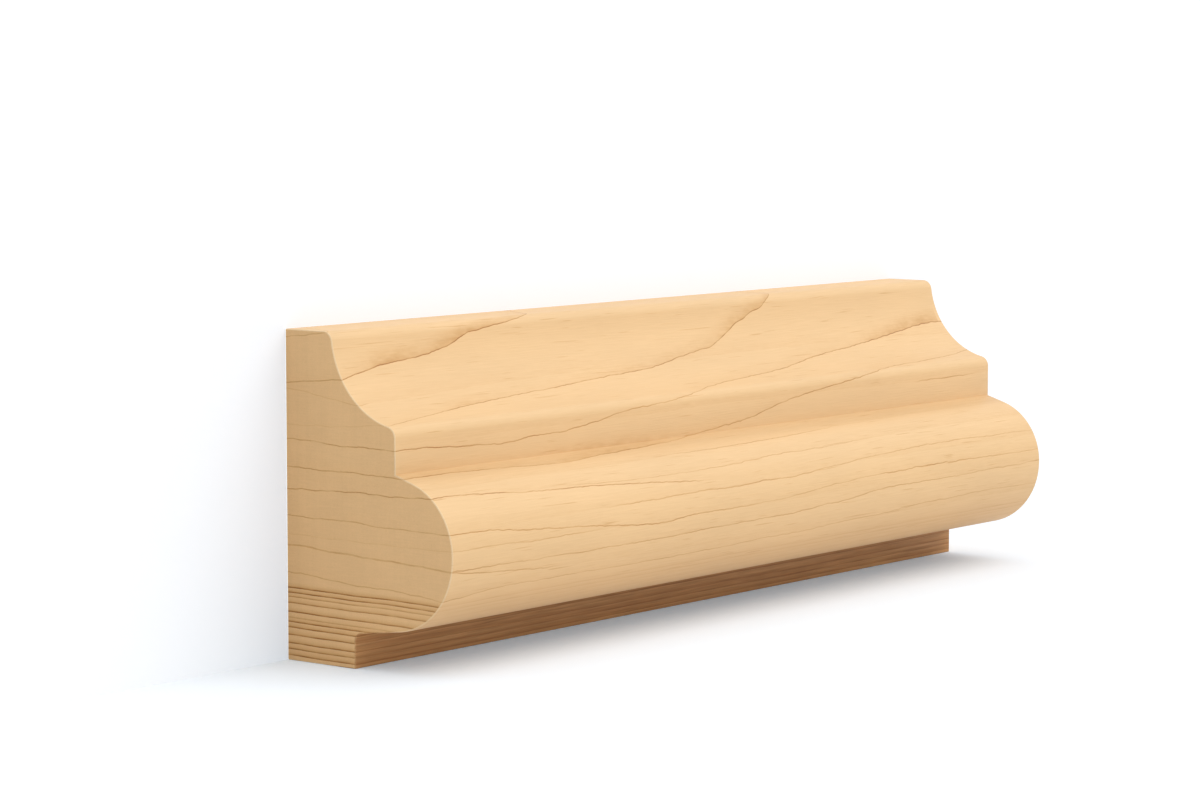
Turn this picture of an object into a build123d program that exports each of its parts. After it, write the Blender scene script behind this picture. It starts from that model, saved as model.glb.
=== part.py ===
from build123d import *
import os
from math import cos, radians, sin, tan

# A short length of base cap moulding, run as one piece from clear pine.
# +X is along the length, +Y towards its flat back and +Z up. The origin is at the middle of
# the length and of the depth, on the level of the foot's underside.

# Driving dimensions of the section, in millimetres and degrees
length = 164.5            # saw cut to saw cut
foot_depth = 14.0         # the foot stands on the top edge of a base board
foot_height = 5.33        # face of the foot, up to the underside of the nose
inside_radius = 1.2       # inside corner between the foot and the underside
underside_slope = 7.35    # the underside rises towards the front
nose_lower_radius = 12.0  # from the underside round to the foremost line
nose_upper_radius = 11.05  # from the foremost line round to the shoulder
shoulder_width = 3.45     # straight run of the shoulder, from the flat fillet forwards
shoulder_slope = 17.3     # the shoulder falls towards the front
fillet_height = 6.9       # shoulder to the lower corner of the cove, before rounding
cove_width = 12.75        # upper corner forwards to the lower corner of the cove
cove_height = 13.9        # lower corner up to the upper corner of the cove
cove_hollow = 3.5         # deepest gap under a straight edge laid across the two corners
corner_radius = 1.8       # round on both corners of the cove
top_width = 9.45          # back to the upper corner of the cove, before rounding

# Distances from the back, from the top of the section down to the nose
fall = radians(shoulder_slope)
fillet_depth = top_width + cove_width
shoulder_end = fillet_depth + shoulder_width
depth = shoulder_end + nose_upper_radius * (1 - sin(fall))
rise = radians(underside_slope)
underside_end = depth - nose_lower_radius * (1 - sin(rise))

# Heights above the floor, from the foot up to the top of the section
underside_end_height = foot_height + (underside_end - foot_depth) * tan(rise)
nose_height = underside_end_height + nose_lower_radius * cos(rise)
shoulder_end_height = nose_height + nose_upper_radius * cos(fall)
fillet_foot_height = shoulder_end_height + shoulder_width * tan(fall)
cove_foot_height = fillet_foot_height + fillet_height
height = cove_foot_height + cove_height

# Corners of the section as (distance from the back, height)
back_foot = (0, 0)
front_foot = (foot_depth, 0)
inside_corner = (foot_depth, foot_height)
underside_front = (underside_end, underside_end_height)
nose_front = (depth, nose_height)
shoulder_front = (shoulder_end, shoulder_end_height)
fillet_foot = (fillet_depth, fillet_foot_height)
cove_lower_corner = (fillet_depth, cove_foot_height)
cove_upper_corner = (top_width, height)
back_top = (0, height)

# Radius of each corner that the cutter leaves round
rounded_corners = {
    inside_corner: inside_radius,
    cove_lower_corner: corner_radius,
    cove_upper_corner: corner_radius,
}

# The section is drawn on the +X end: its first axis runs from the back to the front,
# its second axis up, and its normal along the length towards -X.
section_plane = Plane(origin=(length / 2, depth / 2, 0), x_dir=(0, -1, 0), z_dir=(-1, 0, 0))


def base_cap_moulding():
    with BuildPart() as stock:
        with BuildSketch(section_plane) as section:
            with BuildLine():
                Polyline(cove_upper_corner, back_top, back_foot, front_foot, inside_corner, underside_front)
                JernArc(underside_front, (cos(rise), sin(rise)), nose_lower_radius, 90 - underside_slope)
                JernArc(nose_front, (0, 1), nose_upper_radius, 90 - shoulder_slope)
                Polyline(shoulder_front, fillet_foot, cove_lower_corner)
                SagittaArc(cove_lower_corner, cove_upper_corner, cove_hollow)
            make_face()
            for corner, radius in rounded_corners.items():
                fillet(section.vertices().sort_by_distance(corner)[0], radius)
        extrude(amount=length)
    return stock.part


os.makedirs("parts", exist_ok=True)
export_step(base_cap_moulding(), "parts/base_cap_moulding.step")
print(f"section {depth:.2f} mm deep and {height:.2f} mm high, cut {length:.1f} mm long")
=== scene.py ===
import math
import bmesh
import bpy
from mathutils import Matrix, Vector


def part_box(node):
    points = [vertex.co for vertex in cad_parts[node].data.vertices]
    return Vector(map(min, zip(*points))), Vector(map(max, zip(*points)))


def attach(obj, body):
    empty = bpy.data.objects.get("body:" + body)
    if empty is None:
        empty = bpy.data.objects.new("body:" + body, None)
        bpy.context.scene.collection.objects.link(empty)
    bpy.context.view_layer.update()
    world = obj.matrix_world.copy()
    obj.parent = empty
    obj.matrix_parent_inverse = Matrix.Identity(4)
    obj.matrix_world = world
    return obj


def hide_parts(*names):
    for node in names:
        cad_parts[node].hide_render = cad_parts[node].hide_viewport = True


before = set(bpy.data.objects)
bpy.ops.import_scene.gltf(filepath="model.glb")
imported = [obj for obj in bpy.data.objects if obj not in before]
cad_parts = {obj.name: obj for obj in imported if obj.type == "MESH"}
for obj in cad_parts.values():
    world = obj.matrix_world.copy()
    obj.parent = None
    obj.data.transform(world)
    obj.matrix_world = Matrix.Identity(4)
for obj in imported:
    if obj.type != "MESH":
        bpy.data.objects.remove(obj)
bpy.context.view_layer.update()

stockLow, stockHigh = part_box("base_cap_moulding")
mm = 0.001
length, depth, height = (stockHigh - stockLow) / mm
print(f"frame loaded: stock {length:.1f} x {depth:.1f} x {height:.1f} mm")


def linearColour(hexText):
    channels = [int(hexText[i:i + 2], 16) / 255 for i in (1, 3, 5)]
    return [c / 12.92 if c <= 0.04045 else ((c + 0.055) / 1.055) ** 2.4 for c in channels] + [1.0]


mathNode = "ShaderNodeMath"   # the kind of node used most


# Adds a node, sets its own settings, and fills or links its inputs; a linked node gives its first output
def addNode(tree, kind, inputs=None, **settings):
    node = tree.nodes.new(kind)
    for name, value in settings.items():
        setattr(node, name, value)
    for key, value in (inputs or {}).items():
        if isinstance(value, bpy.types.Node):
            value = value.outputs[0]
        if isinstance(value, bpy.types.NodeSocket):
            tree.links.new(value, node.inputs[key])
        else:
            node.inputs[key].default_value = value
    return node


# The section, in millimetres and degrees, as distances from the back and heights above the floor
section = {
    "footDepth": 14.0,
    "footHeight": 5.33,
    "insideRadius": 1.2,
    "undersideSlope": 7.35,
    "noseLowerRadius": 12.0,
    "noseUpperRadius": 11.05,
    "shoulderSlope": 17.3,
    "filletHeight": 6.9,
    "coveWidth": 12.75,
    "coveHollow": 3.5,
    "cornerRadius": 1.8,
    "topWidth": 9.45,
    "arcStep": 3.0,     # degrees between points on a round stretch
    "fewestSteps": 6,   # on a short round stretch
}


def arcPoints(centre, radius, startAngle, endAngle):
    turn = endAngle - startAngle
    steps = max(section["fewestSteps"], math.ceil(abs(turn) / math.radians(section["arcStep"])))
    angles = [startAngle + turn * i / steps for i in range(steps + 1)]
    return [(centre[0] + radius * math.cos(a), centre[1] + radius * math.sin(a)) for a in angles]


# Outline of the section, anticlockwise seen with the front to the right, and its two inside corners
def sectionOutline():
    s = section
    rise, fall = math.radians(s["undersideSlope"]), math.radians(s["shoulderSlope"])
    quarter = math.pi / 2

    # underside, nose and shoulder
    lowerCentre = depth - s["noseLowerRadius"]
    undersideEnd = lowerCentre + s["noseLowerRadius"] * math.sin(rise)
    undersideEndHeight = s["footHeight"] + (undersideEnd - s["footDepth"]) * math.tan(rise)
    noseHeight = undersideEndHeight + s["noseLowerRadius"] * math.cos(rise)
    upperCentre = depth - s["noseUpperRadius"]
    filletDepth = s["topWidth"] + s["coveWidth"]
    shoulderFront = upperCentre + s["noseUpperRadius"] * math.sin(fall)
    shoulderHeight = noseHeight + s["noseUpperRadius"] * math.cos(fall)
    filletFoot = shoulderHeight + (shoulderFront - filletDepth) * math.tan(fall)

    # round in the corner between foot and underside
    insideY = s["footDepth"] + s["insideRadius"]
    undersideAtInside = s["footHeight"] + s["insideRadius"] * math.tan(rise)
    insideZ = undersideAtInside - s["insideRadius"] / math.cos(rise)

    # cove: its centre stands in front of the chord between the two corners
    lowerCorner = Vector((filletDepth, filletFoot + s["filletHeight"]))
    upperCorner = Vector((s["topWidth"], height))
    chord = upperCorner - lowerCorner
    coveRadius = (chord.length ** 2 / 4 + s["coveHollow"] ** 2) / (2 * s["coveHollow"])
    outward = Vector((chord.y, -chord.x)).normalized()
    cove = (lowerCorner + upperCorner) / 2 + outward * (coveRadius - s["coveHollow"])

    # rounds on the two corners of the cove
    reach = coveRadius + s["cornerRadius"]
    lowY = filletDepth - s["cornerRadius"]
    lowZ = cove.y - math.sqrt(reach ** 2 - (cove.x - lowY) ** 2)
    highZ = height - s["cornerRadius"]
    highY = cove.x - math.sqrt(reach ** 2 - (cove.y - highZ) ** 2)
    lowAngle = math.atan2(cove.y - lowZ, cove.x - lowY)
    highAngle = math.atan2(cove.y - highZ, cove.x - highY)

    outline = [(0, 0), (s["footDepth"], 0)]
    outline += arcPoints((insideY, insideZ), s["insideRadius"], math.pi, quarter + rise)
    outline += arcPoints((lowerCentre, noseHeight), s["noseLowerRadius"], rise - quarter, 0)
    outline += arcPoints((upperCentre, noseHeight), s["noseUpperRadius"], 0, quarter - fall)[1:]
    outline += [(filletDepth, filletFoot)]
    outline += arcPoints((lowY, lowZ), s["cornerRadius"], 0, lowAngle)
    outline += arcPoints(cove, coveRadius, math.pi + lowAngle, math.pi + highAngle)[1:-1]
    outline += arcPoints((highY, highZ), s["cornerRadius"], highAngle, quarter)
    outline += [(0, height)]
    return outline, {"Groove": (s["footDepth"], s["footHeight"]), "Shoulder": (filletDepth, filletFoot)}


# The wide growth rings of the upper part, one by one. Each path gives, along the length from the
# left end in millimetres, the ring's height at the back and how dark its latewood line is there;
# lean is how much it climbs for each millimetre towards the front, and shade gives, along the
# length, how strong the soft brown side above the line is.
wideRings = {
    "crown": {"lean": 0.1, "path": [(0, 49.7, 0.5), (9, 52, 0.5), (164, 63, 0.5)]},
    "upperCove": {
        "lean": 0.08,
        "path": [
            (0, 42.6, 0.8), (10, 44.2, 1), (20, 45.4, 0.8), (27, 46.8, 0.9), (30, 47.8, 1), (35, 48.5, 0.8),
            (45, 49.7, 0.7), (60, 52, 0.5), (164, 62, 0.5)],
        "shade": [
            (0, 0.2), (7, 0.4), (12, 1), (17, 0.8), (21, 0.6), (25, 1), (31, 0.9), (42, 0.5), (50, 0.2),
            (164, 0.2)]},
    "underCove": {"lean": -0.13, "path": [(0, 41.8, 0.25), (1, 41.9, 0.2), (3, 42.0, 0), (164, 43, 0)]},
    "cove": {
        "lean": 0.05,
        "path": [
            (0, 36.1, 0.15), (5, 36.4, 0.6), (10, 36.8, 0.6), (30, 37.9, 0.8), (50, 38.9, 0.7),
            (60, 39.5, 0.7), (72, 40.0, 0.8), (85, 41.7, 0.8), (92, 42.4, 0.7), (94, 43.0, 0.8),
            (99, 44.7, 0.8), (101, 45.6, 0.9), (104, 46.4, 0.8), (106, 47.3, 0.9), (110, 48.3, 0.9),
            (111, 49.0, 0.4), (113, 49.9, 0.8), (122, 53, 0.6), (164, 61, 0.6)],
        "shade": [
            (0, 0.1), (17, 0.2), (23, 0.5), (30, 0.2), (60, 0.3), (70, 0.4), (90, 0.4), (104, 0.7),
            (116, 0.5), (164, 0.2)]},
    "fillet": {
        "lean": -0.03,
        "path": [
            (0, 34.1, 0.9), (10, 34.0, 1), (20, 33.6, 0.8), (26, 33.3, 1), (32, 33.8, 0.9), (40, 34.2, 0.7),
            (50, 35.3, 0.8), (55, 36.2, 0.6), (67, 36.8, 0.5), (80, 37.9, 0.4), (105, 39.0, 0.7),
            (115, 39.8, 0.7), (130, 41.0, 0.8), (150, 42.8, 0.9), (157, 43.5, 0.8), (164, 43.6, 0.7)],
        "shade": [(0, 0.1), (95, 0.2), (130, 0.3), (144, 0.8), (158, 1), (164, 0.8)]},
    "filletDash": {"lean": 0.0, "path": [
        (0, 34.3, 0), (139, 34.3, 0), (144, 34.2, 0.6), (156, 34.35, 0.5), (160, 34.4, 0), (164, 34.4, 0)]},
    "shoulder": {
        "lean": -0.02,
        "path": [
            (0, 30.0, 0.8), (17, 29.9, 0.8), (35, 29.5, 0.3), (45, 29.8, 0.5), (60, 30.0, 0.7),
            (68, 30.2, 0.2), (80, 31.0, 0.6), (90, 32.2, 0.7), (97, 33.7, 0.8), (105, 34.8, 0.8),
            (120, 36.3, 0.7), (130, 37.4, 0.6), (150, 37.9, 0.4), (164, 38.5, 0.4)],
        "shade": [(0, 0.3), (30, 0.3), (42, 0.6), (60, 0.5), (70, 0.2), (130, 0.2), (164, 0.1)]},
    "noseTop": {"lean": 0.0, "path": [
        (0, 28.0, 0), (56, 28.1, 0), (66, 28.2, 0.3), (84, 28.3, 0.45), (98, 28.6, 0.3), (112, 28.8, 0),
        (164, 29, 0)]},
    "noseUpper": {"lean": 0.017, "path": [
        (0, 26.5, 0.9), (8, 26.4, 1), (15, 26.0, 1), (20, 25.6, 0.9), (40, 24.9, 1), (50, 24.35, 0.9),
        (60, 23.6, 0.5), (66, 23.4, 0), (164, 23.0, 0)]},
    "noseBranch": {"lean": 0.017, "path": [
        (0, 26.4, 0), (30, 25.6, 0), (40, 25.3, 0.4), (60, 25.0, 0.25), (84, 25.7, 0.35), (105, 25.9, 0.25),
        (115, 26.1, 0), (164, 26.4, 0)]},
    "noseRise": {"lean": -0.02, "path": [
        (0, 22.9, 0), (36, 22.9, 0), (46, 23.0, 0.4), (70, 23.2, 0.4), (79, 23.5, 0.6), (84, 23.3, 0.4),
        (105, 24.1, 0.35), (120, 24.7, 0.3), (145, 25.0, 0.4), (164, 24.8, 0.1)]},
    "noseMiddle": {"lean": -0.015, "path": [
        (0, 22.3, 0.6), (5, 22.2, 0.7), (20, 21.3, 0.5), (30, 20.5, 0.5), (40, 19.8, 0.7), (50, 19.25, 0.8),
        (57, 19.55, 0.6), (70, 19.6, 0.4), (80, 19.8, 0.1), (95, 20.45, 0.35), (117, 21.3, 0.55),
        (125, 21.45, 0.55), (147, 21.3, 0.45), (164, 21.2, 0.2)]},
    "noseFaint": {"lean": 0.0, "path": [
        (0, 19.3, 0.15), (12, 19.2, 0.3), (30, 19.1, 0.3), (36, 19.1, 0), (164, 19, 0)]},
    "noseFront": {"lean": -0.042, "path": [
        (0, 17.7, 0.6), (20, 17.6, 0.3), (40, 17.55, 0.4), (62, 17.8, 0.5), (80, 18.0, 0.4), (95, 18.4, 0.45),
        (104, 18.8, 0.4), (117, 19.9, 0.45), (124, 19.7, 0.35), (150, 19.9, 0.35), (164, 20.1, 0.35)]},
    "noseFork": {"lean": -0.042, "path": [
        (0, 17.6, 0.5), (10, 16.6, 0.6), (20, 16.0, 0.4), (26, 15.8, 0), (164, 15, 0)]},
    "noseLower": {"lean": -0.05, "path": [
        (0, 13.5, 0.5), (8, 14.0, 0.3), (20, 14.2, 0.25), (50, 14.3, 0.35), (70, 14.4, 0.25),
        (105, 15.2, 0.2), (132, 16.0, 0.3), (164, 16.2, 0.2)]},
}
pathTop = 64.0   # height at the top of the path curves, mm

# The narrow rings that crowd together below them: height at the back and darkness; the last ends them
narrowRings = [
    (-0.6, 0.8), (0.7, 0.9), (1.65, 0.8), (2.55, 0.9), (3.85, 0.9), (5.0, 0.9), (5.85, 0.9), (6.5, 0.3),
    (7.4, 0.9), (8.8, 0.7), (9.75, 0.4), (10.4, 0.9), (11.15, 1.0), (13.2, 0.0),
]

# What the rings look like where they are cut, in mm
ringCut = {
    "edgeFrom": -0.08,       # the sharp lower edge of a line, from under the ring
    "edgeTo": 0.02,          # to over it
    "fullTo": 0.04,          # the line is at its darkest up to here
    "thickness": 0.16,       # and gone from here
    "shadeReach": 3.2,       # the soft side above it is gone from here
    "shadeBend": 1.6,        # and falls off faster near the line
    "plainShade": 0.15,      # strength of the soft side on a ring that gives none
    "narrowThickness": 0.3,
    "narrowReach": 1.0,
    "narrowWander": 0.4,     # share of the drift that the narrow rings follow
    "narrowStep": 0.2,       # and of the small steps
    "narrowFall": 0.006,     # how much they fall for each mm towards the front
    "paleFrom": 6.0,         # their lines grow paler from here, measured from the back
    "paleTo": 28.0,          # to here
    "paleShare": 0.55,       # where this much of them is left
    "slantShare": 0.95,      # how much of the smear on a slanting cut is taken out
}

# Noise stretched along the grain: the size of its patches along, across and up in mm, and what a part
# of its range, or all of it, becomes
grainNoise = {
    # slow drift of a ring and small steps of its line from fibre to fibre, mm
    "wander": {"patch": (20, 12, 12), "detail": 1, "to": (-0.5, 0.5)},
    "step": {"patch": (2.4, 3.0, 3.0), "detail": 2, "to": (-0.25, 0.25)},
    # a line thins out and comes back, and the shade over it is patchy
    "fade": {"patch": (7, 3, 1.2), "detail": 2, "from": (0.3, 0.6), "to": (0.3, 1.0)},
    "mottle": {"patch": (2.5, 0.8, 0.8), "detail": 2, "from": (0.3, 0.7), "to": (0.5, 1.2)},
    # fibres, drawn coarser than real ones so that they show, and broad clouds
    "fibre": {"patch": (6, 0.22, 0.22), "detail": 3, "to": (-2, 2)},
    "cloud": {"patch": (30, 8, 8), "detail": 2, "to": (-2, 2)},
    # resin canals: short thin dashes
    "streak": {"patch": (7, 0.22, 0.22), "detail": 0, "from": (0.72, 0.86), "to": (0, 1),
               "blend": "SMOOTHSTEP"},
    # upright marks of the saw and short level dashes on the ends
    "saw": {"patch": (40, 0.7, 25), "detail": 1, "to": (-2, 2)},
    "fleck": {"patch": (4, 3.0, 0.16), "detail": 1, "to": (-2, 2)},
    # uneven bands along the foot
    "band": {"patch": (40, 3.0, 0.5), "detail": 2, "to": (-2, 2)},
}

# Places that take a tone, full up to one distance and none from the other, in mm: from
# the back for the foot, from the floor for the low wood, and from an inside corner for the other two;
# the low wood, the groove and the shoulder take painted shade
tonedPlaces = {
    "Foot": {"full": 14.3, "none": 20.0},
    "Low": {"full": 10.0, "none": 15.0},
    "Groove": {"full": 5.5, "none": 9.0},
    "Shoulder": {"full": 2.0, "none": 4.8},
}
uprightLoss = 0.6   # share of the shoulder's painted shade that an upright face goes without


def setCurve(node, points, handle):
    curve = node.mapping.curves[0]
    for place, value in points[1:-1]:
        curve.points.new(place, value)
    curve.points[0].location = points[0]
    curve.points[-1].location = points[-1]
    for point in curve.points:
        point.handle_type = handle
    node.mapping.update()


# From the distance above a ring in mm: a dark line with a sharp lower edge, and a soft shade over it
def ringProfile():
    tree = bpy.data.node_groups.new("ringProfile", "ShaderNodeTree")
    for name in ("Above", "Dark", "Shade", "Thickness", "Softness"):
        tree.interface.new_socket(name, in_out="INPUT", socket_type="NodeSocketFloat")
    for name in ("Line", "Shade"):
        tree.interface.new_socket(name, in_out="OUTPUT", socket_type="NodeSocketFloat")
    given = addNode(tree, "NodeGroupInput").outputs
    lowerEdge = addNode(tree, "ShaderNodeMapRange", {
        "Value": given["Above"], "From Min": ringCut["edgeFrom"], "From Max": ringCut["edgeTo"]},
        interpolation_type="SMOOTHSTEP")
    core = addNode(tree, "ShaderNodeMapRange", {
        "Value": given["Above"], "From Min": ringCut["fullTo"], "From Max": given["Thickness"],
        "To Min": 1.0, "To Max": 0.0}, interpolation_type="SMOOTHSTEP")
    fall = addNode(tree, "ShaderNodeMapRange", {
        "Value": given["Above"], "From Max": given["Softness"], "To Min": 1.0, "To Max": 0.0})
    fall = addNode(tree, mathNode, {0: fall, 1: ringCut["shadeBend"]}, operation="POWER")
    dark = addNode(tree, mathNode, {0: lowerEdge, 1: given["Dark"]}, operation="MULTIPLY")
    line = addNode(tree, mathNode, {0: core, 1: dark}, operation="MULTIPLY")
    soft = addNode(tree, mathNode, {0: lowerEdge, 1: given["Shade"]}, operation="MULTIPLY")
    shade = addNode(tree, mathNode, {0: fall, 1: soft}, operation="MULTIPLY")
    addNode(tree, "NodeGroupOutput", {"Line": line, "Shade": shade})
    return tree


# Lines and soft sides of the wide rings; where two rings meet, the stronger one shows
def wideRingCut(tree, at, noise, profile):
    shake = addNode(tree, mathNode, {0: noise["wander"], 1: noise["step"]}, operation="ADD")
    shaken = addNode(tree, mathNode, {0: shake, 1: at["steep"], 2: at["up"]}, operation="MULTIPLY_ADD")
    line, shade = 0.0, 0.0
    for ring in wideRings.values():
        level = addNode(tree, "ShaderNodeFloatCurve", {"Value": at["along"]})
        setCurve(level, [(x / length, z / pathTop) for x, z, _ in ring["path"]], "AUTO")
        dark = addNode(tree, "ShaderNodeFloatCurve", {"Value": at["along"]})
        setCurve(dark, [(x / length, d) for x, _, d in ring["path"]], "VECTOR")
        soft = ringCut["plainShade"]
        if "shade" in ring:
            soft = addNode(tree, "ShaderNodeFloatCurve", {"Value": at["along"]})
            setCurve(soft, [(x / length, d) for x, d in ring["shade"]], "AUTO")
        lean = addNode(tree, mathNode, {0: at["fromBack"], 1: ring["lean"]}, operation="MULTIPLY")
        ringHeight = addNode(tree, mathNode, {0: level, 1: pathTop, 2: lean}, operation="MULTIPLY_ADD")
        above = addNode(tree, mathNode, {0: shaken, 1: ringHeight}, operation="SUBTRACT")
        above = addNode(tree, mathNode, {0: above, 1: at["steep"]}, operation="DIVIDE")
        cut = addNode(tree, "ShaderNodeGroup", {
            "Above": above, "Dark": dark, "Shade": soft, "Thickness": ringCut["thickness"],
            "Softness": ringCut["shadeReach"]}, node_tree=profile).outputs
        line = addNode(tree, mathNode, {0: line, 1: cut["Line"]}, operation="MAXIMUM")
        shade = addNode(tree, mathNode, {0: shade, 1: cut["Shade"]}, operation="MAXIMUM")
    line = addNode(tree, mathNode, {0: line, 1: noise["fade"]}, operation="MULTIPLY")
    shade = addNode(tree, mathNode, {0: shade, 1: noise["mottle"]}, operation="MULTIPLY")
    return line, shade


# The same of the narrow rings: a curve numbers them, and two more give each one's width and darkness
def narrowRingCut(tree, at, noise, profile):
    heights = [z for z, _ in narrowRings]
    first, last = heights[0], heights[-1]
    count = len(narrowRings) - 1
    shake = addNode(tree, mathNode, {0: noise["step"], 1: ringCut["narrowStep"]}, operation="MULTIPLY")
    shake = addNode(tree, mathNode, {
        0: noise["wander"], 1: ringCut["narrowWander"], 2: shake}, operation="MULTIPLY_ADD")
    shaken = addNode(tree, mathNode, {0: shake, 1: at["steep"], 2: at["up"]}, operation="MULTIPLY_ADD")
    level = addNode(tree, mathNode, {
        0: at["fromBack"], 1: ringCut["narrowFall"], 2: shaken}, operation="MULTIPLY_ADD")
    onSpan = addNode(tree, "ShaderNodeMapRange", {"Value": level, "From Min": first, "From Max": last})
    number = addNode(tree, "ShaderNodeFloatCurve", {"Value": onSpan})
    setCurve(number, [((z - first) / (last - first), i / count) for i, z in enumerate(heights)], "VECTOR")
    number = addNode(tree, mathNode, {0: number, 1: count}, operation="MULTIPLY")
    index = addNode(tree, mathNode, {0: number}, operation="FLOOR")
    index = addNode(tree, mathNode, {0: index, 1: count}, operation="DIVIDE")
    within = addNode(tree, mathNode, {0: number}, operation="FRACT")

    widths = [upper - lower for lower, upper in zip(heights, heights[1:])]
    widths.append(widths[-1])   # the last one has no darkness, so its width doesn't show
    widest = max(widths)
    width = addNode(tree, "ShaderNodeFloatCurve", {"Value": index})
    setCurve(width, [(i / count, w / widest) for i, w in enumerate(widths)], "VECTOR")
    dark = addNode(tree, "ShaderNodeFloatCurve", {"Value": index})
    setCurve(dark, [(i / count, d) for i, (_, d) in enumerate(narrowRings)], "VECTOR")
    below = addNode(tree, mathNode, {0: at["up"], 1: last}, operation="LESS_THAN")
    dark = addNode(tree, mathNode, {0: dark, 1: below}, operation="MULTIPLY")

    above = addNode(tree, mathNode, {0: within, 1: width}, operation="MULTIPLY")
    above = addNode(tree, mathNode, {0: above, 1: widest}, operation="MULTIPLY")
    above = addNode(tree, mathNode, {0: above, 1: at["steep"]}, operation="DIVIDE")
    cut = addNode(tree, "ShaderNodeGroup", {
        "Above": above, "Dark": dark, "Shade": dark, "Thickness": ringCut["narrowThickness"],
        "Softness": ringCut["narrowReach"]}, node_tree=profile).outputs
    paling = addNode(tree, "ShaderNodeMapRange", {
        "Value": at["fromBack"], "From Min": ringCut["paleFrom"], "From Max": ringCut["paleTo"],
        "To Min": 1.0, "To Max": ringCut["paleShare"]})
    line = addNode(tree, mathNode, {0: cut["Line"], 1: noise["fade"]}, operation="MULTIPLY")
    line = addNode(tree, mathNode, {0: line, 1: paling}, operation="MULTIPLY")
    return line, cut["Shade"]


# One volume of wood that all the finishes are cut from, on Object coordinates in millimetres.
# Line and Shade are the wide rings, Narrow and Crowd the same of the narrow ones.
def growthRings(innerCorners):
    tree = bpy.data.node_groups.new("growthRings", "ShaderNodeTree")
    coordinates = addNode(tree, "ShaderNodeTexCoord").outputs
    place = addNode(tree, "ShaderNodeVectorMath", {
        0: coordinates["Object"], "Scale": 1 / mm}, operation="SCALE")
    axes = addNode(tree, "ShaderNodeSeparateXYZ", {0: place}).outputs
    at = {"up": axes["Z"]}
    at["along"] = addNode(tree, mathNode, {0: axes["X"], 1: 1 / length, 2: 0.5}, operation="MULTIPLY_ADD")
    at["fromBack"] = addNode(tree, mathNode, {0: depth / 2, 1: axes["Y"]}, operation="SUBTRACT")

    # a ring cut at a slant would smear out, so its line is narrowed by how steep the surface is
    facing = addNode(tree, "ShaderNodeSeparateXYZ", {0: coordinates["Normal"]}).outputs
    flat = addNode(tree, mathNode, {0: facing["Z"], 1: facing["Z"]}, operation="MULTIPLY")
    steep = addNode(tree, mathNode, {0: flat, 1: -ringCut["slantShare"], 2: 1.0}, operation="MULTIPLY_ADD")
    at["steep"] = addNode(tree, mathNode, {0: steep}, operation="SQRT")

    noise = {}
    for name, look in grainNoise.items():
        patch = addNode(tree, "ShaderNodeVectorMath", {
            0: place, 1: [1 / size for size in look["patch"]]}, operation="MULTIPLY")
        texture = addNode(tree, "ShaderNodeTexNoise", {
            "Vector": patch, "Scale": 1.0, "Detail": look["detail"]})
        (low, high), (least, most) = look.get("from", (0, 1)), look["to"]
        noise[name] = addNode(tree, "ShaderNodeMapRange", {
            "Value": texture, "From Min": low, "From Max": high, "To Min": least, "To Max": most},
            interpolation_type=look.get("blend", "LINEAR"))

    shown = ("fibre", "cloud", "streak", "saw", "fleck", "band")
    results = {name.capitalize(): noise[name] for name in shown}
    profile = ringProfile()
    results["Line"], results["Shade"] = wideRingCut(tree, at, noise, profile)
    results["Narrow"], results["Crowd"] = narrowRingCut(tree, at, noise, profile)

    # the toned places; on the shoulder the painted shade falls more on the level side than on the upright one
    away = {"Foot": at["fromBack"], "Low": at["up"]}
    onSection = addNode(tree, "ShaderNodeCombineXYZ", {"X": at["fromBack"], "Y": at["up"]})
    for name, corner in innerCorners.items():
        away[name] = addNode(tree, "ShaderNodeVectorMath", {
            0: onSection, 1: (*corner, 0)}, operation="DISTANCE").outputs["Value"]
    for name, reach in tonedPlaces.items():
        results[name] = addNode(tree, "ShaderNodeMapRange", {
            "Value": away[name], "From Min": reach["full"], "From Max": reach["none"],
            "To Min": 1.0, "To Max": 0.0}, interpolation_type="SMOOTHSTEP")
    levelSide = addNode(tree, mathNode, {0: at["steep"], 1: -uprightLoss, 2: 1.0}, operation="MULTIPLY_ADD")
    results["Shoulder"] = addNode(tree, mathNode, {
        0: results["Shoulder"], 1: levelSide}, operation="MULTIPLY")

    for name in results:
        tree.interface.new_socket(name, in_out="OUTPUT", socket_type="NodeSocketFloat")
    addNode(tree, "NodeGroupOutput", results)
    return tree


# Clear pine planed along the grain and sanded: pale straw earlywood, thin brown latewood lines
# with a soft amber side, a silky half-matt surface with the fibres just felt. The stains multiply
# the earlywood, each to the power of its amount.
pineFace = {
    "earlywood": "#F1CA96",
    "shadeStain": "#E3D3BC",
    # the groove's colour below is painted shade
    "lineStain": "#B38E61",
    "paintedGrooveShade": "#D5BFA7",
    "lineDepth": 0.9,
    "shadeDepth": 1.0,
    "narrowDepth": 0.08,     # the narrow rings in the nose
    "crowdDepth": 0.2,
    "footLine": 0.2,         # and how much more of them shows in the foot
    "footCrowd": 0.45,
    "footBand": 0.4,
    "lowShadeDepth": 0.12,        # painted shade: the wood is a little darker and browner low down
    "grooveShadeDepth": 0.9,      # painted shade: the groove under the nose is darker and browner
    "grooveFibre": 0.13,
    "streakDepth": 0.18,
    "shoulderTone": -0.12,   # painted shade: the shoulder is a little darker in the corner over the nose
    "fibreTone": 0.025,
    "cloudTone": 0.03,
    "sawTone": 0.0,
    "fleckTone": 0.0,
    "roughness": 0.52,
    "fibreGloss": -0.07,     # a raised fibre is a little smoother
    "relief": 0.02,          # mm from the lowest fibre to the highest
}

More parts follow.
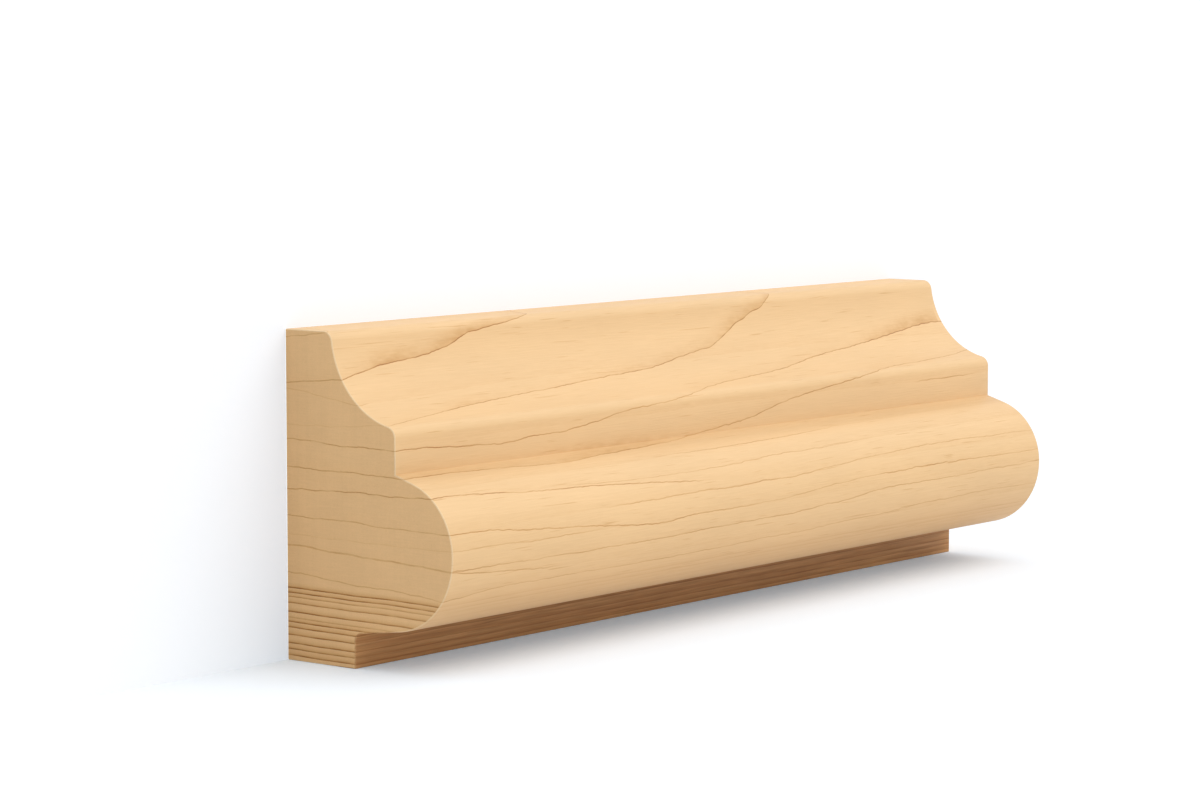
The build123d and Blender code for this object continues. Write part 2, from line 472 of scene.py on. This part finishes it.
# The same pine sawn across the grain: the cut fibre ends drink light, so it is darker and duller,
# and each latewood line shows as a fine brown stripe.
pineEnd = {
    "earlywood": "#E7BF8B",
    "shadeStain": "#DCCBB0",
    "lineStain": "#AA8A60",
    "paintedGrooveShade": "#FFFFFF",
    "lineDepth": 0.55,
    "shadeDepth": 0.3,
    "narrowDepth": 1.0,
    "crowdDepth": 0.8,
    "footLine": 0.0,
    "footCrowd": 0.0,
    "footBand": 0.0,
    "lowShadeDepth": 0.0,
    "grooveShadeDepth": 0.0,
    "grooveFibre": 0.0,
    "streakDepth": 0.0,
    "shoulderTone": 0.0,
    "fibreTone": 0.025,
    "cloudTone": 0.03,
    "sawTone": 0.012,
    "fleckTone": 0.02,
    "roughness": 0.72,
    "fibreGloss": -0.07,
    "relief": 0.02,
}

# The eased edges carry a painted highlight: paler than the faces, with fainter lines
pineEasedHighlight = {**pineFace, "earlywood": "#F5D6A9", "lineDepth": 0.5, "shadeDepth": 0.5}


def pineMaterial(name, look, wood):
    material = bpy.data.materials.new(name)
    material.use_nodes = True
    tree = material.node_tree
    tree.nodes.clear()
    cut = addNode(tree, "ShaderNodeGroup", node_tree=wood).outputs

    # how strong each stain is: the soft side of the rings, their lines with the short streaks, and the
    # painted shade in the groove and low down
    crowd = addNode(tree, mathNode, {
        0: cut["Foot"], 1: look["footCrowd"], 2: look["crowdDepth"]}, operation="MULTIPLY_ADD")
    shade = addNode(tree, mathNode, {0: cut["Shade"], 1: look["shadeDepth"]}, operation="MULTIPLY")
    shade = addNode(tree, mathNode, {0: cut["Crowd"], 1: crowd, 2: shade}, operation="MULTIPLY_ADD")
    narrow = addNode(tree, mathNode, {
        0: cut["Foot"], 1: look["footLine"], 2: look["narrowDepth"]}, operation="MULTIPLY_ADD")
    line = addNode(tree, mathNode, {0: cut["Narrow"], 1: narrow}, operation="MULTIPLY")
    for mark in ("Line", "Streak"):
        line = addNode(tree, mathNode, {
            0: cut[mark], 1: look[mark.lower() + "Depth"], 2: line}, operation="MULTIPLY_ADD")
    # painted shade in the groove under the nose, streaked by the uneven bands, and a little of it low down
    band = addNode(tree, mathNode, {
        0: cut["Band"], 1: look["footBand"], 2: look["grooveShadeDepth"]}, operation="MULTIPLY_ADD")
    groove = addNode(tree, mathNode, {0: cut["Groove"], 1: band}, operation="MULTIPLY")
    groove = addNode(tree, mathNode, {
        0: cut["Low"], 1: look["lowShadeDepth"], 2: groove}, operation="MULTIPLY_ADD")

    # fibres, clouds, saw marks and flecks lighten and darken the wood a little, and painted shade darkens the
    # shoulder
    fibre = addNode(tree, mathNode, {
        0: cut["Groove"], 1: look["grooveFibre"], 2: look["fibreTone"]}, operation="MULTIPLY_ADD")
    tone = addNode(tree, mathNode, {0: cut["Fibre"], 1: fibre, 2: 1.0}, operation="MULTIPLY_ADD")
    for mark in ("Cloud", "Saw", "Fleck", "Shoulder"):
        tone = addNode(tree, mathNode, {
            0: cut[mark], 1: look[mark.lower() + "Tone"], 2: tone}, operation="MULTIPLY_ADD")

    colour = addNode(tree, "ShaderNodeVectorMath", {
        0: linearColour(look["earlywood"])[:3], "Scale": tone}, operation="SCALE")
    for stain, amount in (("shadeStain", shade), ("lineStain", line), ("paintedGrooveShade", groove)):
        layer = addNode(tree, "ShaderNodeGamma", {"Color": linearColour(look[stain]), "Gamma": amount})
        colour = addNode(tree, "ShaderNodeVectorMath", {0: colour, 1: layer}, operation="MULTIPLY")

    rough = addNode(tree, mathNode, {
        0: cut["Fibre"], 1: look["fibreGloss"], 2: look["roughness"]}, operation="MULTIPLY_ADD")
    bump = addNode(tree, "ShaderNodeBump", {
        "Height": cut["Fibre"], "Distance": look["relief"] / 2 * mm, "Strength": 1.0})
    shader = addNode(tree, "ShaderNodeBsdfPrincipled", {
        "Base Color": colour, "Roughness": rough, "Normal": bump, "IOR": 1.5, "Specular IOR Level": 0.4})
    addNode(tree, "ShaderNodeOutputMaterial", {"Surface": shader})
    return material


# Sweeps the section along the length; faces that look along the length get the end grain
def sweepTree():
    tree = bpy.data.node_groups.new("sweptMoulding", "GeometryNodeTree")
    for name, kind in (("Section", "NodeSocketGeometry"), ("Length", "NodeSocketFloat"),
                       ("Long grain", "NodeSocketMaterial"), ("End grain", "NodeSocketMaterial")):
        tree.interface.new_socket(name, in_out="INPUT", socket_type=kind)
    tree.interface.new_socket("Moulding", in_out="OUTPUT", socket_type="NodeSocketGeometry")
    given = addNode(tree, "NodeGroupInput").outputs
    half = addNode(tree, mathNode, {0: given["Length"], 1: 0.5}, operation="MULTIPLY")
    back = addNode(tree, mathNode, {0: half, 1: -1.0}, operation="MULTIPLY")
    start = addNode(tree, "ShaderNodeCombineXYZ", {"X": back})
    end = addNode(tree, "ShaderNodeCombineXYZ", {"X": half})
    run = addNode(tree, "GeometryNodeCurvePrimitiveLine", {"Start": start, "End": end})
    swept = addNode(tree, "GeometryNodeCurveToMesh", {
        "Curve": run, "Profile Curve": given["Section"], "Fill Caps": True})
    smooth = addNode(tree, "GeometryNodeSetShadeSmooth", {"Geometry": swept})
    realized = addNode(tree, "GeometryNodeRealizeInstances", {"Geometry": smooth})
    faced = addNode(tree, "GeometryNodeSetMaterial", {
        "Geometry": realized, "Material": given["Long grain"]})
    across = addNode(tree, "ShaderNodeSeparateXYZ", {0: addNode(tree, "GeometryNodeInputNormal")})
    size = addNode(tree, mathNode, {0: across.outputs["X"]}, operation="ABSOLUTE")
    isEnd = addNode(tree, mathNode, {0: size, 1: math.cos(math.radians(45))}, operation="GREATER_THAN")
    ended = addNode(tree, "GeometryNodeSetMaterial", {
        "Geometry": faced, "Selection": isEnd, "Material": given["End grain"]})
    addNode(tree, "NodeGroupOutput", {"Moulding": ended})
    return tree


# The swept stock as a plain mesh
def sweptStock(outline, faceMaterial, endMaterial):
    curve = bpy.data.curves.new("section", "CURVE")
    curve.dimensions = "2D"
    curve.fill_mode = "NONE"
    spline = curve.splines.new("POLY")
    spline.points.add(len(outline) - 1)
    spline.use_cyclic_u = True
    # the sweep lays x along -Y and y along -Z; with the outline run backwards the faces point outwards
    for point, (fromBack, up) in zip(spline.points, reversed(outline)):
        point.co = ((fromBack - depth / 2) * mm, -up * mm, 0, 1)
    holder = bpy.data.objects.new("sectionHolder", curve)
    bpy.context.scene.collection.objects.link(holder)

    tree = sweepTree()
    sweep = holder.modifiers.new("sweep", "NODES")
    sweep.node_group = tree
    values = {"Length": length * mm, "Long grain": faceMaterial, "End grain": endMaterial}
    for item in tree.interface.items_tree:
        if item.in_out == "INPUT" and item.name in values:
            sweep[item.identifier] = values[item.name]
    bpy.context.view_layer.update()
    evaluated = holder.evaluated_get(bpy.context.evaluated_depsgraph_get())
    mesh = bpy.data.meshes.new_from_object(evaluated)
    bpy.data.objects.remove(holder)
    return mesh


# The outer edges, eased as a pass of fine paper leaves them
arris = {
    "width": 0.17,      # mm
    "segments": 3,
    "sharpAngle": 35,   # degrees, from which an edge isn't part of a round stretch
}


def moulding(mesh, highlightMaterial):
    mesh.materials.append(highlightMaterial)
    shape = bmesh.new()
    shape.from_mesh(mesh)
    eased = shape.edges.layers.float.new("bevel_weight_edge")
    for edge in shape.edges:
        if edge.calc_face_angle() > math.radians(arris["sharpAngle"]):
            edge[eased] = edge.is_convex
            edge.smooth = edge.is_convex   # the inside corner stays sharp
    shape.to_mesh(mesh)
    shape.free()

    piece = bpy.data.objects.new("moulding", mesh)
    bpy.context.scene.collection.objects.link(piece)
    ease = piece.modifiers.new("ease", "BEVEL")
    ease.width = arris["width"] * mm
    ease.segments = arris["segments"]
    ease.limit_method = "WEIGHT"
    ease.harden_normals = True
    # the eased faces take the painted highlight
    ease.material = len(mesh.materials) - 1
    return piece


outline, innerCorners = sectionOutline()
print("section drawn:", len(outline), "points")

wood = growthRings(innerCorners)
pineFaceMaterial = pineMaterial("clearPinePlaned", pineFace, wood)
pineEndMaterial = pineMaterial("clearPineSawnEnd", pineEnd, wood)
pineEasedHighlightMaterial = pineMaterial("clearPineEasedHighlight", pineEasedHighlight, wood)
print("pine ready:", len(wideRings), "wide rings and", len(narrowRings) - 1, "narrow ones")

piece = moulding(sweptStock(outline, pineFaceMaterial, pineEndMaterial), pineEasedHighlightMaterial)
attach(piece, "root")
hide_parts("base_cap_moulding")
print("moulding swept:", len(piece.data.polygons), "faces")


# Plain white studio: a wide soft key from high in front, an even world, a white floor and a white
# board close behind the stock
studio = {
    "keyLight": 1.22,              # watts per square metre
    "keyFrom": (0.3, -0.46, 0.84),
    "keySpread": 70.0,             # degrees
    "worldLight": 0.69,
    "paperColour": "#EBEBEB",
    "paperReach": 3.0,             # metres each way
}

# The paper as the eye sees it: the glow lifts lit paper to white and keeps its shadows, and the tint
# takes out the wood's own warm light, so that the shadows stay grey
seenPaper = {
    "floor": {"tint": "#F9F6F8", "glow": "#4B6F7E"},
    "board": {"tint": "#F8E8DD", "glow": "#6994AC"},
}


# 1 on the rays that look at the paper or the world and 0 on the rays that light the stock
def seenRays(tree):
    ray = addNode(tree, "ShaderNodeLightPath").outputs
    seen = addNode(tree, mathNode, {0: ray["Is Camera Ray"], 1: ray["Is Glossy Ray"]}, operation="MAXIMUM")
    return addNode(tree, mathNode, {0: seen, 1: ray["Is Transmission Ray"]}, operation="MAXIMUM")


# Matt white paper that cannot be seen from its back
def paperMaterial(name):
    paper = bpy.data.materials.new(name)
    paper.use_nodes = True
    tree = paper.node_tree
    tree.nodes.clear()
    look = seenPaper[name]
    seen = seenRays(tree)
    colour = addNode(tree, "ShaderNodeMix", {
        0: seen, 6: linearColour(studio["paperColour"]), 7: linearColour(look["tint"])}, data_type="RGBA")
    matt = addNode(tree, "ShaderNodeBsdfDiffuse", {"Color": colour.outputs[2]})
    shine = addNode(tree, "ShaderNodeEmission", {"Color": linearColour(look["glow"]), "Strength": seen})
    front = addNode(tree, "ShaderNodeAddShader", {0: matt, 1: shine})
    side = addNode(tree, "ShaderNodeNewGeometry").outputs["Backfacing"]
    clear = addNode(tree, "ShaderNodeBsdfTransparent")
    both = addNode(tree, "ShaderNodeMixShader", {0: side, 1: front, 2: clear})
    addNode(tree, "ShaderNodeOutputMaterial", {"Surface": both})
    return paper


def paperSheet(name, corners, faces):
    mesh = bpy.data.meshes.new(name)
    mesh.from_pydata(corners, [], faces)
    mesh.materials.append(paperMaterial(name))
    sheet = bpy.data.objects.new(name, mesh)
    bpy.context.scene.collection.objects.link(sheet)


def buildStudio():
    scene = bpy.context.scene
    scene.view_settings.view_transform = "Standard"

    world = bpy.data.worlds.new("studio")
    scene.world = world
    world.use_nodes = True
    tree = world.node_tree
    tree.nodes.clear()
    strength = addNode(tree, "ShaderNodeMapRange", {
        "Value": seenRays(tree), "To Min": studio["worldLight"], "To Max": 1.0})
    light = addNode(tree, "ShaderNodeBackground", {"Color": (1, 1, 1, 1), "Strength": strength})
    addNode(tree, "ShaderNodeOutputWorld", {"Surface": light})

    reach = studio["paperReach"]
    floorCorners = [(-reach, -reach, 0), (reach, -reach, 0), (reach, reach, 0), (-reach, reach, 0)]
    paperSheet("floor", floorCorners, [(0, 1, 2, 3)])

    # the board is open just behind the stock, so that the stock's back is lit like its front
    left, right, top = stockLow.x, stockHigh.x, stockHigh.z
    boardCorners = [
        (-reach, 0), (left, 0), (left, top), (right, top), (right, 0), (reach, 0),
        (reach, reach), (right, reach), (left, reach), (-reach, reach)]
    paperSheet("board", [(x, stockHigh.y, z) for x, z in boardCorners],
               [(0, 1, 2, 8, 9), (2, 3, 7, 8), (3, 4, 5, 6, 7)])

    lamp = bpy.data.lights.new("key", "SUN")
    lamp.energy = studio["keyLight"]
    lamp.angle = math.radians(studio["keySpread"])
    key = bpy.data.objects.new("key", lamp)
    key.rotation_euler = (-Vector(studio["keyFrom"])).to_track_quat("-Z", "Y").to_euler()
    scene.collection.objects.link(key)


buildStudio()

# The eye stands in front of the left end, a little above the stock
camera = {
    "eye": (-0.46295, -0.34693, 0.08941),   # metres
    "target": (-0.02648, 0.0, 0.03678),
    "lens": 103.9,                          # mm
    "sensor": 36.0,
}
view = bpy.data.cameras.new("camera")
view.lens = camera["lens"]
view.sensor_width = camera["sensor"]
eye = bpy.data.objects.new("camera", view)
eye.location = camera["eye"]
eye.rotation_euler = (Vector(camera["target"]) - Vector(camera["eye"])).to_track_quat("-Z", "Y").to_euler()
bpy.context.scene.collection.objects.link(eye)
bpy.context.scene.camera = eye
print("studio and camera ready")
